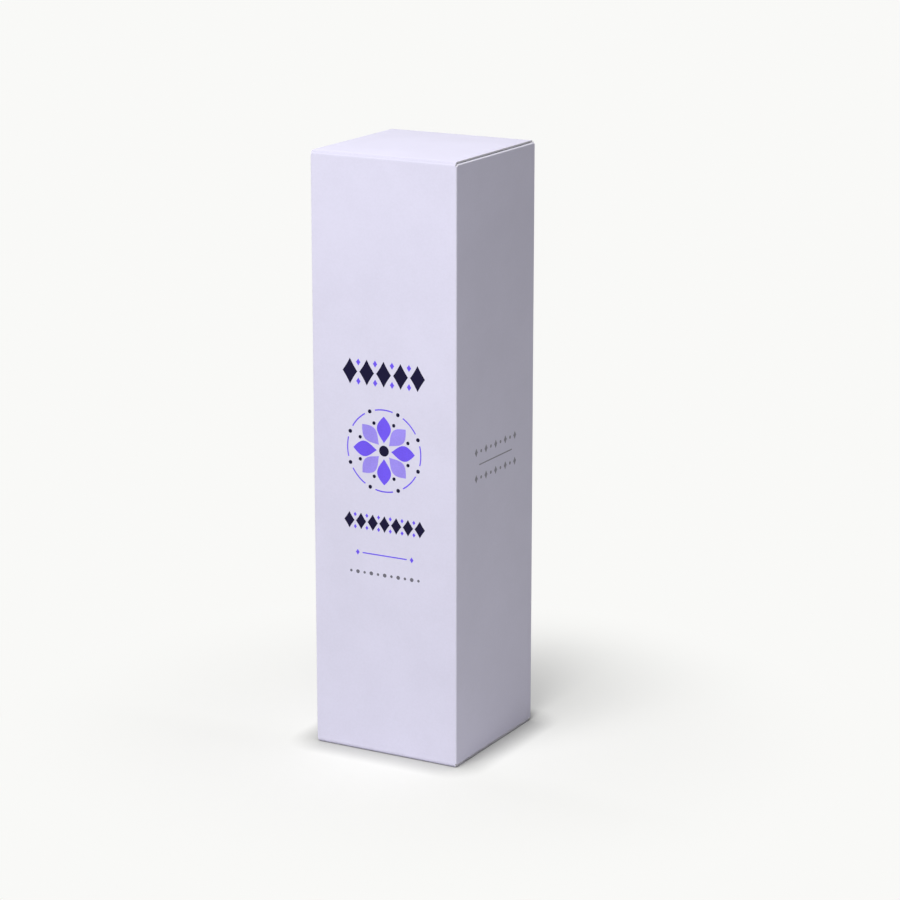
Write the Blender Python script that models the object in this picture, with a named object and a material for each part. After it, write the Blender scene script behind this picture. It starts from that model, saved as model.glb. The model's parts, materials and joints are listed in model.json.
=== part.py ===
"""Tuck end box: a small folding carton with a tuck end at the top and at the bottom.

The carton is one creased blank of coated board, glued once. Each panel and flap is
drawn flat as an outline, given the board's thickness, and its crease lips are then
rolled to half of each bend. Two neighbours meet in the middle of their bend, and the
hinge line of a flap is the outer skin of the board there.

+Z is up, the printed front wall faces -Y and the origin is the middle of the base.
"""

import math

import bmesh
import bpy
from mathutils import Vector

MM = 0.001

# Closed carton, over its outer faces
BOX_WIDTH = 40.0 * MM
BOX_DEPTH = 40.0 * MM
BOX_HEIGHT = 150.0 * MM

# Board and glue
BOARD = 0.4 * MM
GLUE_SPACE = 0.08 * MM

# Inner radius of each kind of bend, and the gap in its middle
WALL_BEND_INSIDE = 0.05 * MM
LID_BEND_INSIDE = 0.5 * MM
TUCK_BEND_INSIDE = 0.2 * MM
DUST_BEND_INSIDE = 0.05 * MM
CREASE_GAP = 0.01 * MM

# Running gaps between pieces that pass each other
LID_TO_DUST_FLAP = 0.15 * MM
TUCK_TO_BACK_WALL = 0.3 * MM
TUCK_TO_GLUE_FLAP = 0.3 * MM

# Wall panels
CORNER_NICK = 0.1 * MM
BACK_EDGE_DROP = 0.5 * MM
LEFT_EDGE_INSET = 0.25 * MM

# Glue flap and the strip of glue on it
GLUE_FLAP_WIDTH = 11.0 * MM
GLUE_FLAP_END_INSET = 2.0 * MM
GLUE_FLAP_TAPER = 5.0 * MM
GLUE_STRIP_WIDTH = 7.0 * MM
GLUE_STRIP_END_INSET = 8.0 * MM
GLUE_STRIP_CORNER = 2.0 * MM

# Lid
LID_SIDE_INSET = 0.35 * MM

# Tuck flap, which leans in from the back wall by the lean angle
TUCK_DEPTH = 11.0 * MM
TUCK_TAPER = 0.6 * MM
TUCK_CORNER = 6.0 * MM
TUCK_LEAN = math.radians(11.5)

# Dust flaps
DUST_LENGTH = 16.0 * MM
DUST_FRONT_INSET = 0.7 * MM
DUST_BACK_INSET = 0.6 * MM
DUST_SHOULDER = 4.0 * MM
DUST_TIP_INSET = 9.5 * MM
DUST_TUCK_NOTCH = 2.4 * MM
DUST_NOTCH_SLANT = 0.3 * MM
DUST_FRONT_CORNER = 3.0 * MM
DUST_BACK_CORNER = 2.0 * MM

# Angles and steps
RIGHT_ANGLE = math.radians(90)
HALF_TURN = math.radians(180)
SMOOTH_LIMIT = math.radians(30)
FLAT_LIMIT = math.radians(0.1)
BEND_STEPS = 4
CORNER_STEPS = 8
WELD_SHARE = 0.1

# Board colours in linear light: printed side, and dried glue
BOARD_COLOUR = (0.71, 0.69, 0.86, 1.0)
GLUE_COLOUR = (0.83, 0.78, 0.62, 1.0)
BOARD_ROUGHNESS = 0.55
GLUE_ROUGHNESS = 0.35

# Sizes worked out from the ones above, starting with the outer radius of each bend
WALL_BEND = WALL_BEND_INSIDE + BOARD
LID_BEND = LID_BEND_INSIDE + BOARD
TUCK_BEND = TUCK_BEND_INSIDE + BOARD
DUST_BEND = DUST_BEND_INSIDE + BOARD
HALF_WIDTH = BOX_WIDTH / 2
HALF_DEPTH = BOX_DEPTH / 2
HALF_HEIGHT = BOX_HEIGHT / 2
HALF_RIGHT_ANGLE = RIGHT_ANGLE / 2
TUCK_ANGLE = RIGHT_ANGLE + TUCK_LEAN
WELD_DISTANCE = CREASE_GAP * WELD_SHARE
DUST_FACE_DROP = BOARD + LID_TO_DUST_FLAP
GLUE_FLAP_FACE = HALF_WIDTH - BOARD - GLUE_SPACE
GLUE_FOLD_START = GLUE_FLAP_FACE - WALL_BEND
TUCK_HALF_WIDTH = GLUE_FLAP_FACE - BOARD - TUCK_TO_GLUE_FLAP
LID_HALF_WIDTH = HALF_WIDTH - LID_SIDE_INSET
LID_FLAT_START = -HALF_DEPTH + LID_BEND
LID_FLAT_END = HALF_DEPTH - BOARD - TUCK_TO_BACK_WALL - TUCK_BEND
LID_LENGTH = LID_FLAT_END - LID_FLAT_START
DUST_FLAT_START = HALF_WIDTH - DUST_BEND


def new_collection(name):
    """Add a collection to the scene."""
    collection = bpy.data.collections.new(name)
    bpy.context.scene.collection.children.link(collection)
    return collection


def new_material(name, colour, roughness):
    """Make a plain material with a colour and a roughness."""
    material = bpy.data.materials.new(name)
    material.use_nodes = True
    shader = material.node_tree.nodes["Principled BSDF"]
    shader.inputs["Base Color"].default_value = colour
    shader.inputs["Roughness"].default_value = roughness
    shader.inputs["Metallic"].default_value = 0.0
    material.diffuse_color = colour
    return material


def lip_length(radius, angle):
    """Length along the outer skin of one half of a bend, up to the middle gap."""
    return radius * angle - CREASE_GAP / 2


def bend_rise(radius, angle):
    """How far the middle of a bend lies below the flat outer face."""
    return radius * (1 - math.cos(angle))


def bend_run(radius, angle):
    """How far the middle of a bend lies beyond the end of the flat."""
    return radius * math.sin(angle)


def round_corner(corner, before, after, radius):
    """Points of an arc that rounds the corner between two straight edges."""
    corner = Vector(corner)
    to_before = (Vector(before) - corner).normalized()
    to_after = (Vector(after) - corner).normalized()
    half = to_before.angle(to_after) / 2
    centre = corner + (to_before + to_after).normalized() * (radius / math.sin(half))
    start = corner + to_before * (radius / math.tan(half)) - centre
    sweep = start.angle_signed(corner + to_after * (radius / math.tan(half)) - centre)
    points = []
    for step in range(CORNER_STEPS + 1):
        turn = -sweep * step / CORNER_STEPS
        x = start.x * math.cos(turn) - start.y * math.sin(turn)
        y = start.x * math.sin(turn) + start.y * math.cos(turn)
        points.append((centre.x + x, centre.y + y))
    return points


def without_repeats(points):
    """Drop each point that lies on the one before it."""
    kept = []
    for point in points:
        if not kept or (Vector(point) - Vector(kept[-1])).length > WELD_DISTANCE:
            kept.append(point)
    return kept


def flat_board(name, points, thickness):
    """Cut an outline from board: its outer face lies at local z = 0."""
    curve = bpy.data.curves.new(name + "_outline", "CURVE")
    curve.dimensions = "2D"
    curve.fill_mode = "BOTH"
    curve.extrude = thickness / 2
    spline = curve.splines.new("POLY")
    spline.points.add(len(points) - 1)
    for spline_point, (x, y) in zip(spline.points, points):
        spline_point.co = (x, y, 0, 1)
    spline.use_cyclic_u = True
    outline = bpy.data.objects.new(name + "_outline", curve)
    bpy.context.scene.collection.objects.link(outline)
    depsgraph = bpy.context.evaluated_depsgraph_get()
    mesh = bpy.data.meshes.new_from_object(outline.evaluated_get(depsgraph))
    mesh.name = name
    bpy.data.objects.remove(outline)
    board = bmesh.new()
    board.from_mesh(mesh)
    bmesh.ops.remove_doubles(board, verts=board.verts, dist=WELD_DISTANCE)
    bmesh.ops.dissolve_limit(
        board, angle_limit=FLAT_LIMIT, verts=board.verts, edges=board.edges
    )
    bmesh.ops.translate(board, verts=board.verts, vec=(0, 0, -thickness / 2))
    return mesh, board


def roll_lip(board, direction, start, radius, angle, reach=BOX_HEIGHT):
    """Bend the board inward past a start line, as far as half a crease goes.

    The lip is first cut into strips along the crease, so that each strip stays flat.
    What lies further than the reach from the board's middle line isn't bent.
    """
    direction = Vector(direction)
    for step in range(BEND_STEPS):
        along = start + radius * angle * step / BEND_STEPS
        geometry = board.verts[:] + board.edges[:] + board.faces[:]
        bmesh.ops.bisect_plane(
            board,
            geom=geometry,
            dist=WELD_DISTANCE,
            plane_co=direction * along,
            plane_no=direction,
        )
    for vertex in board.verts:
        along = vertex.co.dot(direction)
        across = (vertex.co - direction * along).xy.length
        beyond = along - start
        if beyond > WELD_DISTANCE and across < reach:
            turn = beyond / radius
            skin = radius + vertex.co.z
            vertex.co += direction * (skin * math.sin(turn) - beyond)
            vertex.co.z = skin * math.cos(turn) - radius


def finish_piece(collection, name, mesh, board, material):
    """Turn a board into a named object with smooth bends and crisp cut edges."""
    bmesh.ops.remove_doubles(board, verts=board.verts, dist=WELD_DISTANCE)
    bmesh.ops.triangulate(board, faces=board.faces)
    bmesh.ops.dissolve_degenerate(board, dist=WELD_DISTANCE, edges=board.edges)
    bmesh.ops.triangulate(board, faces=board.faces)
    bmesh.ops.recalc_face_normals(board, faces=board.faces)
    board.to_mesh(mesh)
    board.free()
    mesh.shade_smooth()
    mesh.set_sharp_from_angle(angle=SMOOTH_LIMIT)
    mesh.materials.clear()
    mesh.materials.append(material)
    piece = bpy.data.objects.new(name, mesh)
    collection.objects.link(piece)
    return piece


def wall_corner(bend_start, lip_end, lip_top, head_foot, head_start, head_half, head_end):
    """Points of one wall corner, from the side lip up to the end of the head lip."""
    return [
        (lip_end, lip_top),
        (bend_start, lip_top),
        (bend_start, head_start),
        (head_foot, head_start),
        (head_half, head_end),
    ]


def wall_outline(right_corner, left_corner):
    """Join the corner of the right side and that of the left, at top and bottom."""
    top_right = right_corner
    top_left = [(-x, y) for x, y in reversed(left_corner)]
    bottom_left = [(-x, -y) for x, y in left_corner]
    bottom_right = [(x, -y) for x, y in reversed(right_corner)]
    return without_repeats(top_right + top_left + bottom_left + bottom_right)


def add_front_wall(collection):
    """Front wall: side creases left and right, lid creases at top and bottom."""
    name = "front_panel"
    bend_start = HALF_WIDTH - WALL_BEND
    head_start = HALF_HEIGHT - LID_BEND
    corner = wall_corner(
        bend_start,
        bend_start + lip_length(WALL_BEND, HALF_RIGHT_ANGLE),
        head_start - CORNER_NICK,
        LID_HALF_WIDTH,
        head_start,
        LID_HALF_WIDTH,
        head_start + lip_length(LID_BEND, HALF_RIGHT_ANGLE),
    )
    mesh, board = flat_board(name, wall_outline(corner, corner), BOARD)
    below_nick = head_start - CORNER_NICK / 2
    for side in (-1, 1):
        roll_lip(board, (side, 0, 0), bend_start, WALL_BEND, HALF_RIGHT_ANGLE, below_nick)
    for end in (-1, 1):
        roll_lip(board, (0, end, 0), head_start, LID_BEND, HALF_RIGHT_ANGLE)
    material = new_material(name + "_board", BOARD_COLOUR, BOARD_ROUGHNESS)
    piece = finish_piece(collection, name, mesh, board, material)
    piece.location = (0, -HALF_DEPTH, HALF_HEIGHT)
    piece.rotation_euler = (RIGHT_ANGLE, 0, 0)


def side_wall_corner(side_start, lip, inset):
    """One corner of a side wall, where the head lip carries a dust flap."""
    head_start = HALF_HEIGHT - DUST_FACE_DROP - DUST_BEND
    return wall_corner(
        side_start,
        side_start + lip,
        head_start,
        HALF_DEPTH - WALL_BEND,
        head_start,
        HALF_DEPTH - inset,
        head_start + lip_length(DUST_BEND, HALF_RIGHT_ANGLE),
    )


def add_side_walls(collection):
    """Side walls: the left one ends in a cut edge over the glue flap's fold."""
    bend_start = HALF_DEPTH - WALL_BEND
    lip = lip_length(WALL_BEND, HALF_RIGHT_ANGLE)
    head_start = HALF_HEIGHT - DUST_FACE_DROP - DUST_BEND
    front = side_wall_corner(bend_start, lip, DUST_FRONT_INSET)
    back = side_wall_corner(bend_start, lip, DUST_BACK_INSET)
    cut_back = side_wall_corner(HALF_DEPTH - LEFT_EDGE_INSET, 0, DUST_BACK_INSET)
    walls = (
        ("right_panel", 1, back, front, (-1, 1)),
        ("left_panel", -1, front, cut_back, (1,)),
    )
    for name, side, right_corner, left_corner, lipped_sides in walls:
        mesh, board = flat_board(name, wall_outline(right_corner, left_corner), BOARD)
        for lipped in lipped_sides:
            roll_lip(board, (lipped, 0, 0), bend_start, WALL_BEND, HALF_RIGHT_ANGLE)
        for end in (-1, 1):
            roll_lip(board, (0, end, 0), head_start, DUST_BEND, HALF_RIGHT_ANGLE)
        material = new_material(name + "_board", BOARD_COLOUR, BOARD_ROUGHNESS)
        piece = finish_piece(collection, name, mesh, board, material)
        piece.location = (side * HALF_WIDTH, 0, HALF_HEIGHT)
        piece.rotation_euler = (RIGHT_ANGLE, 0, side * RIGHT_ANGLE)


def add_back_wall(collection):
    """Back wall: plain cut edges at top and bottom, and the glue flap's fold."""
    name = "back_panel"
    lip = lip_length(WALL_BEND, HALF_RIGHT_ANGLE)
    lip_top = HALF_HEIGHT - DUST_FACE_DROP - DUST_BEND
    cut_edge = HALF_HEIGHT - BACK_EDGE_DROP
    bend_start = HALF_WIDTH - WALL_BEND
    crease_corner = [
        (bend_start + lip, lip_top),
        (bend_start, lip_top),
        (bend_start, cut_edge),
    ]
    glue_lip_top = HALF_HEIGHT - GLUE_FLAP_END_INSET
    glue_corner = [
        (GLUE_FOLD_START + lip, glue_lip_top),
        (GLUE_FOLD_START, glue_lip_top),
        (GLUE_FOLD_START, cut_edge),
    ]
    mesh, board = flat_board(name, wall_outline(glue_corner, crease_corner), BOARD)
    roll_lip(board, (1, 0, 0), GLUE_FOLD_START, WALL_BEND, HALF_RIGHT_ANGLE)
    roll_lip(board, (-1, 0, 0), bend_start, WALL_BEND, HALF_RIGHT_ANGLE)
    material = new_material(name + "_board", BOARD_COLOUR, BOARD_ROUGHNESS)
    piece = finish_piece(collection, name, mesh, board, material)
    piece.location = (0, HALF_DEPTH, HALF_HEIGHT)
    piece.rotation_euler = (RIGHT_ANGLE, 0, HALF_TURN)


def add_glue_flap(collection):
    """Glue flap: folded in from the back wall, with slanted ends."""
    name = "glue_flap"
    lip = lip_length(WALL_BEND, HALF_RIGHT_ANGLE)
    fold_start = HALF_DEPTH - WALL_BEND
    free_edge = fold_start - GLUE_FLAP_WIDTH
    long_half = HALF_HEIGHT - GLUE_FLAP_END_INSET
    short_half = long_half - GLUE_FLAP_TAPER
    points = [
        (-fold_start - lip, -long_half),
        (-fold_start, -long_half),
        (-free_edge, -short_half),
        (-free_edge, short_half),
        (-fold_start, long_half),
        (-fold_start - lip, long_half),
    ]
    mesh, board = flat_board(name, points, BOARD)
    roll_lip(board, (-1, 0, 0), fold_start, WALL_BEND, HALF_RIGHT_ANGLE)
    material = new_material(name + "_board", BOARD_COLOUR, BOARD_ROUGHNESS)
    piece = finish_piece(collection, name, mesh, board, material)
    piece.location = (-GLUE_FLAP_FACE, 0, HALF_HEIGHT)
    piece.rotation_euler = (RIGHT_ANGLE, 0, -RIGHT_ANGLE)


def add_glue_line(collection):
    """Strip of dried glue that fills the space between glue flap and left wall."""
    name = "glue_line"
    middle = -(HALF_DEPTH - WALL_BEND - GLUE_FLAP_WIDTH / 2)
    half = GLUE_STRIP_WIDTH / 2
    end = HALF_HEIGHT - GLUE_STRIP_END_INSET
    corners = [
        (middle - half, -end),
        (middle + half, -end),
        (middle + half, end),
        (middle - half, end),
    ]
    points = []
    for index, corner in enumerate(corners):
        after = corners[(index + 1) % len(corners)]
        points += round_corner(corner, corners[index - 1], after, GLUE_STRIP_CORNER)
    mesh, board = flat_board(name, points, GLUE_SPACE - 2 * CREASE_GAP)
    material = new_material(name + "_glue", GLUE_COLOUR, GLUE_ROUGHNESS)
    piece = finish_piece(collection, name, mesh, board, material)
    piece.location = (-HALF_WIDTH + BOARD + CREASE_GAP, 0, HALF_HEIGHT)
    piece.rotation_euler = (RIGHT_ANGLE, 0, -RIGHT_ANGLE)


def add_flap(collection, name, parent, points, radius, angle, far_bend=None):
    """Cut a flap whose bend starts at y = 0, and put its origin on its hinge line."""
    mesh, board = flat_board(name, points, BOARD)
    roll_lip(board, (0, -1, 0), 0, radius, angle)
    if far_bend:
        roll_lip(board, (0, 1, 0), *far_bend)
    hinge = (0, bend_run(radius, angle), bend_rise(radius, angle))
    bmesh.ops.translate(board, verts=board.verts, vec=hinge)
    material = new_material(name + "_board", BOARD_COLOUR, BOARD_ROUGHNESS)
    piece = finish_piece(collection, name, mesh, board, material)
    piece.parent = parent
    return piece


def add_lid(collection, name, end):
    """Lid: as wide as the front wall's head, all the way to the tuck crease."""
    front = -lip_length(LID_BEND, HALF_RIGHT_ANGLE)
    back = LID_LENGTH + lip_length(TUCK_BEND, TUCK_ANGLE / 2)
    points = [
        (LID_HALF_WIDTH, front),
        (LID_HALF_WIDTH, back),
        (-LID_HALF_WIDTH, back),
        (-LID_HALF_WIDTH, front),
    ]
    tuck_bend = (LID_LENGTH, TUCK_BEND, TUCK_ANGLE / 2)
    lid = add_flap(collection, name, end, points, LID_BEND, HALF_RIGHT_ANGLE, tuck_bend)
    drop = bend_rise(LID_BEND, HALF_RIGHT_ANGLE)
    lid.location = (0, LID_FLAT_START - bend_run(LID_BEND, HALF_RIGHT_ANGLE), -drop)
    return lid


def add_tuck_flap(collection, name, lid):
    """Tuck flap: slightly tapered, with round corners, on the lid's far crease."""
    half_angle = TUCK_ANGLE / 2
    tip_half = TUCK_HALF_WIDTH - TUCK_TAPER
    corner = round_corner(
        (tip_half, TUCK_DEPTH), (TUCK_HALF_WIDTH, 0), (0, TUCK_DEPTH), TUCK_CORNER
    )
    half_outline = [
        (TUCK_HALF_WIDTH, -lip_length(TUCK_BEND, half_angle)),
        (TUCK_HALF_WIDTH, 0),
    ] + corner
    points = half_outline + [(-x, y) for x, y in reversed(half_outline)]
    tuck = add_flap(collection, name, lid, points, TUCK_BEND, half_angle)
    lid_run = bend_run(LID_BEND, HALF_RIGHT_ANGLE) + LID_LENGTH
    lid_rise = bend_rise(LID_BEND, HALF_RIGHT_ANGLE)
    along = lid_run + bend_run(TUCK_BEND, half_angle)
    tuck.location = (0, along, lid_rise - bend_rise(TUCK_BEND, half_angle))
    tuck.rotation_euler = (-TUCK_ANGLE, 0, 0)


def add_dust_flap(collection, name, end, side):
    """Dust flap: a slanted shoulder clears the lid, and a notch the tuck flap."""
    front_root = (-HALF_DEPTH + DUST_FRONT_INSET, 0)
    shoulder = (front_root[0] + DUST_SHOULDER, DUST_SHOULDER)
    front_tip = (-HALF_DEPTH + DUST_TIP_INSET, DUST_LENGTH)
    back_tip = (HALF_DEPTH - DUST_TUCK_NOTCH, DUST_LENGTH)
    notch = (back_tip[0], DUST_NOTCH_SLANT)
    back_root = (HALF_DEPTH - DUST_BACK_INSET, 0)
    lip = -lip_length(DUST_BEND, HALF_RIGHT_ANGLE)
    points = [(front_root[0], lip), (back_root[0], lip), back_root, notch]
    points += round_corner(back_tip, notch, front_tip, DUST_BACK_CORNER)
    points += round_corner(front_tip, back_tip, shoulder, DUST_FRONT_CORNER)
    points += [shoulder, front_root]
    points = [(side * x, y) for x, y in points][::side]
    flap = add_flap(collection, name, end, points, DUST_BEND, HALF_RIGHT_ANGLE)
    across = DUST_FLAT_START + bend_run(DUST_BEND, HALF_RIGHT_ANGLE)
    drop = DUST_FACE_DROP + bend_rise(DUST_BEND, HALF_RIGHT_ANGLE)
    flap.location = (side * across, 0, -drop)
    flap.rotation_euler = (0, 0, side * RIGHT_ANGLE)


def add_tuck_end(collection, name, height, turn, side_names):
    """One end of the carton: the lid with its tuck flap, over two dust flaps."""
    end = bpy.data.objects.new(name + "_end", None)
    end.location = (0, 0, height)
    end.rotation_euler = (0, turn, 0)
    collection.objects.link(end)
    lid = add_lid(collection, name + "_lid", end)
    add_tuck_flap(collection, name + "_tuck_flap", lid)
    for side, side_name in zip((1, -1), side_names):
        add_dust_flap(collection, name + "_" + side_name + "_dust_flap", end, side)


def main():
    """Build the closed carton."""
    for item in list(bpy.data.objects):
        bpy.data.objects.remove(item)
    carton = new_collection("tuck_end_box")
    add_front_wall(carton)
    add_side_walls(carton)
    add_back_wall(carton)
    add_glue_flap(carton)
    add_glue_line(carton)
    add_tuck_end(carton, "top", BOX_HEIGHT, 0, ("right", "left"))
    add_tuck_end(carton, "bottom", 0, HALF_TURN, ("left", "right"))


if __name__ == "__main__":
    main()
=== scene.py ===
"""Tuck end box: the finished look of the packed carton, and the stage it stands on.

The file is laid out as a Blender add-on and is run as a script. Each group of like
pieces has an operator, their sizes and colours are properties of the scene, and a
panel in the 3D view's sidebar lists both. Lengths are metres, in the part's frame:
+Z up, the printed front wall towards -Y, the origin under the carton's middle. Only
names ending in _MM, and outlines of print and the sizes they take, are millimetres.
"""

import json
import math

import bmesh
import bpy
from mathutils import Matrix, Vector

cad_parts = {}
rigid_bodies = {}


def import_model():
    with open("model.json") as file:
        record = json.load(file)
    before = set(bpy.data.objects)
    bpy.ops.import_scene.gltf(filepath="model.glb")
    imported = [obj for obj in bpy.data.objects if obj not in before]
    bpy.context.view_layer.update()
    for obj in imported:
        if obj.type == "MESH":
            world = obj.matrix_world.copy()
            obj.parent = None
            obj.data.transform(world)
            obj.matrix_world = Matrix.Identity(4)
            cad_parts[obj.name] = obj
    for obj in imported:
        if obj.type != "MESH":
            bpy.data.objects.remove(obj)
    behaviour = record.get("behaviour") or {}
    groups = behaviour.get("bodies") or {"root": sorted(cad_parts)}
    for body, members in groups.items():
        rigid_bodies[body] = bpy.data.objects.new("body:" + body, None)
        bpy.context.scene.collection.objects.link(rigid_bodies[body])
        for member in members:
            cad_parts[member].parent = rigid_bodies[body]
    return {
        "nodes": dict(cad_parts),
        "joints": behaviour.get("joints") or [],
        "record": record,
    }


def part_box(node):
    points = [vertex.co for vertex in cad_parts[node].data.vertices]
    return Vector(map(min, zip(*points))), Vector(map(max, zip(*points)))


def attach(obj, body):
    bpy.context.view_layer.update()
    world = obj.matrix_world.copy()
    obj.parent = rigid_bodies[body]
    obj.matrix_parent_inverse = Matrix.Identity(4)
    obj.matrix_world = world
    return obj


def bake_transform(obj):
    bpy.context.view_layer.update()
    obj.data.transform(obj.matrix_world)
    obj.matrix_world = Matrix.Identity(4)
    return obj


bl_info = {
    "name": "Tuck end box",
    "version": (1, 0, 0),
    "blender": (4, 5, 0),
    "location": "3D View > Sidebar > Carton",
    "description": "Dresses a packed tuck end carton in board, print and stage",
    "category": "Object",
}

for leftover in list(bpy.data.objects):
    bpy.data.objects.remove(leftover)
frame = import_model()
NODES = frame["nodes"]
JOINTS = {joint["name"]: joint for joint in frame["joints"]}
SLOT_COLOURS = {
    slot["slot"]: slot["base_color"] for slot in frame["record"]["materials"]
}

MM = 0.001
PER_METRE = 1000.0

# The closed carton and its board, as packed
HALF_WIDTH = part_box("right_panel")[1].x
HALF_DEPTH = -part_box("front_panel")[0].y
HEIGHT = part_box("top_lid")[1].z
BOARD = 0.4 * MM
CREASE_GAP = 0.01 * MM
TUCK_LEAN = math.radians(11.5)

# Which way the printed side of each panel and flap faces when the carton is closed
TUCK_ACROSS, TUCK_DOWN = math.cos(TUCK_LEAN), math.sin(TUCK_LEAN)
OUTWARD = {
    "front_panel": (0, -1, 0),
    "right_panel": (1, 0, 0),
    "back_panel": (0, 1, 0),
    "left_panel": (-1, 0, 0),
    "glue_flap": (-1, 0, 0),
    "top_lid": (0, 0, 1),
    "top_tuck_flap": (0, TUCK_ACROSS, -TUCK_DOWN),
    "top_right_dust_flap": (0, 0, 1),
    "top_left_dust_flap": (0, 0, 1),
    "bottom_lid": (0, 0, -1),
    "bottom_tuck_flap": (0, TUCK_ACROSS, TUCK_DOWN),
    "bottom_right_dust_flap": (0, 0, -1),
    "bottom_left_dust_flap": (0, 0, -1),
}

# Creases that move: name of the bend, panel, flap, half length and inner radius
LID_CREASE = (19.6 * MM, 0.5 * MM)
TUCK_CREASE = (18.8 * MM, 0.2 * MM)
DUST_CREASE = (19.25 * MM, 0.05 * MM)
MOVING_CREASES = (
    ("top_lid", "front_panel", "top_lid", LID_CREASE),
    ("top_tuck", "top_lid", "top_tuck_flap", TUCK_CREASE),
    ("top_right_dust", "right_panel", "top_right_dust_flap", DUST_CREASE),
    ("top_left_dust", "left_panel", "top_left_dust_flap", DUST_CREASE),
    ("bottom_lid", "front_panel", "bottom_lid", LID_CREASE),
    ("bottom_tuck", "bottom_lid", "bottom_tuck_flap", TUCK_CREASE),
    ("bottom_right_dust", "right_panel", "bottom_right_dust_flap", DUST_CREASE),
    ("bottom_left_dust", "left_panel", "bottom_left_dust_flap", DUST_CREASE),
)

# Creases between the walls: name, two panels, middle of the bend on the outer skin,
# and half length
WALL_BEND = 0.45 * MM
WALL_BEND_INSIDE = 0.05 * MM
WALL_CREASE = 73.8 * MM
GLUE_CREASE = 72.9 * MM
GLUE_FOLD_IN = 0.48 * MM
BEND_MIDDLE = WALL_BEND * (1 - math.cos(math.radians(45)))
CORNER_X = HALF_WIDTH - BEND_MIDDLE
CORNER_Y = HALF_DEPTH - BEND_MIDDLE
GLUE_FOLD_X = GLUE_FOLD_IN - CORNER_X
WALL_CREASES = (
    ("front_right", "front_panel", "right_panel", (CORNER_X, -CORNER_Y), WALL_CREASE),
    ("back_right", "back_panel", "right_panel", (CORNER_X, CORNER_Y), WALL_CREASE),
    ("front_left", "front_panel", "left_panel", (-CORNER_X, -CORNER_Y), WALL_CREASE),
    ("glue_fold", "back_panel", "glue_flap", (GLUE_FOLD_X, CORNER_Y), GLUE_CREASE),
)

SMOOTH_LIMIT = math.radians(30)
WELD_DISTANCE = 0.001 * MM


# ---------------------------------------------------------------- settings


def colour_property(name, description, default):
    """A colour in linear light."""
    return bpy.props.FloatVectorProperty(
        name=name,
        description=description,
        subtype="COLOR",
        size=3,
        min=0.0,
        max=1.0,
        default=default,
    )


def share_property(name, description, default):
    """A share from 0 to 1."""
    return bpy.props.FloatProperty(
        name=name,
        description=description,
        subtype="FACTOR",
        min=0.0,
        max=1.0,
        default=default,
    )


def length_property(name, description, default):
    """A length in metres, shown in the scene's unit."""
    return bpy.props.FloatProperty(
        name=name,
        description=description,
        subtype="DISTANCE",
        unit="LENGTH",
        min=0.0,
        precision=5,
        default=default,
    )


class CartonBoardSettings(bpy.types.PropertyGroup):
    """Colours and finish of the coated board and of the dried glue."""

    printed: colour_property(
        "Printed side", "Pale coat on the outside of the board", (0.71, 0.69, 0.84)
    )
    # Lighter coat in the creases: partly coat that a crease has cracked, partly a
    # painted highlight where the bends catch the light
    worn_and_highlit: colour_property(
        "Creased coat", "The coat where a crease has cracked it", (0.93, 0.91, 1.0)
    )
    # Share of the crease lightening, cracked coat and painted highlight, that the
    # upright creases get; creases that face up get all of it
    wall_wear_and_highlight: share_property(
        "Wall crease wear", "Wear of the upright creases against the others'", 0.3
    )
    # Painted shade: darkens the coat over a lid's crease, where the bend faces the lamp
    # and would catch more light than the lid
    lid_crease_painted_shade: share_property(
        "Lid crease tone", "Tone of the coat stretched over a lid's crease", 0.85
    )
    inside: colour_property(
        "Inner side", "Uncoated liner on the inside of the board", (0.69, 0.68, 0.665)
    )
    liner: colour_property(
        "Liner edge", "White layers that show at a cut edge", (0.88, 0.87, 0.91)
    )
    core: colour_property(
        "Core edge", "Middle layer that shows at a cut edge", (0.82, 0.80, 0.86)
    )
    glue: colour_property("Glue", "Dried glue in the side seam", SLOT_COLOURS["glue"])
    mottle: share_property(
        "Mottle", "How much the coat's tone varies over a panel", 0.03
    )
    roughness: share_property("Roughness", "Roughness of the printed side", 0.52)
    bead: length_property(
        "Crease bead", "Height of the bead that a crease leaves inside", 0.05 * MM
    )


class CartonPrintSettings(bpy.types.PropertyGroup):
    """Inks and places of the ornament on the front and side walls."""

    violet: colour_property("Violet", "Main ink of the rosette", (0.17, 0.10, 0.87))
    lilac: colour_property("Lilac", "Second ink of the rosette", (0.35, 0.28, 0.87))
    navy: colour_property("Navy", "Ink of the lozenge bands", (0.007, 0.005, 0.032))
    grey: colour_property("Grey", "Ink of the small ornaments", (0.17, 0.165, 0.20))
    pale_grey: colour_property(
        "Pale grey", "Ink of the ornament on the side wall", (0.33, 0.32, 0.37)
    )
    rosette_height: length_property(
        "Rosette height", "Height of the rosette's middle", 78 * MM
    )
    rosette_radius: length_property(
        "Rosette radius", "From the rosette's middle to its petal tips", 8.6 * MM
    )
    petals: bpy.props.IntProperty(
        name="Petals", description="Petals of the rosette", min=3, max=24, default=8
    )
    upper_band_height: length_property(
        "Upper band height", "Height of the upper lozenge band's middle", 97 * MM
    )
    lower_band_height: length_property(
        "Lower band height", "Height of the lower lozenge band's middle", 59.5 * MM
    )
    rule_height: length_property("Rule height", "Height of the thin rule", 51.5 * MM)
    dots_height: length_property("Dots height", "Height of the row of dots", 46.5 * MM)
    side_height: length_property(
        "Side ornament height", "Height of the side wall's ornament", 74.5 * MM
    )
    ink: length_property("Ink", "How far the ink stands out", 0.015 * MM)


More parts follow.
